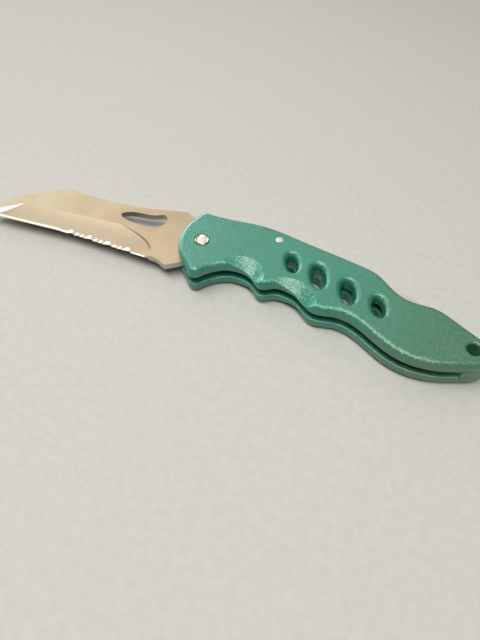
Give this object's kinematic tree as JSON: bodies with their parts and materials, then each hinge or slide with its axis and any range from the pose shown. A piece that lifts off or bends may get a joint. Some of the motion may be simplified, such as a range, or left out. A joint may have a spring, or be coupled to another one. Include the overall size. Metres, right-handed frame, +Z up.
{
  "type": "rigging knife",
  "caption": "Folding rigging knife with a part-serrated sheepsfoot blade, finger-grooved painted metal handle with oval cut-outs, and a back lock.",
  "frame": {"origin": "middle of the open knife's footprint, on the outer face of the right-hand scale it lies on", "axes": "+X from the blade tip towards the lanyard end, +Y towards the back of the knife (lock bar side), +Z up out of the left-hand scale, along the pivot"},
  "size_m": [0.188, 0.0424, 0.0113],
  "materials": {
    "handle_paint": "satin sea-green paint on cast metal",
    "spacer_paint": "satin sea-green paint on cast metal",
    "blade_steel": "satin ground stainless steel",
    "bar_steel": "brushed stainless steel",
    "pin_steel": "bright stainless steel",
    "spring_steel": "tempered spring steel",
    "washer_bronze": "phosphor bronze"
  },
  "bodies": {
    "handle": {"left_scale": "handle_paint", "right_scale": "handle_paint", "pivot_barrel": "pin_steel", "pivot_rivet": "pin_steel", "left_washer": "washer_bronze", "right_washer": "washer_bronze", "rocker_pin": "pin_steel", "lock_spring": "spring_steel", "butt_spacer": "spacer_paint", "butt_screws": "pin_steel"},
    "blade_body": {"blade": "blade_steel"},
    "lock": {"lock_bar": "bar_steel"}
  },
  "joints": [
    {"name": "blade_fold", "type": "hinge", "parent": "handle", "child": "blade_body", "pos_m": [-0.00926, 0.0026, 0.0055], "axis": [0, 0, 1], "range_deg": [0, 167]},
    {"name": "lock_rock", "type": "hinge", "parent": "handle", "child": "lock", "pos_m": [0.01504, 0.0162, 0.0055], "axis": [0, 0, -1], "range_deg": [-2, 2.5], "stiffness_Nm_per_rad": 4, "springref_deg": -5.73, "deforming": ["lock_spring"]}
  ]
}
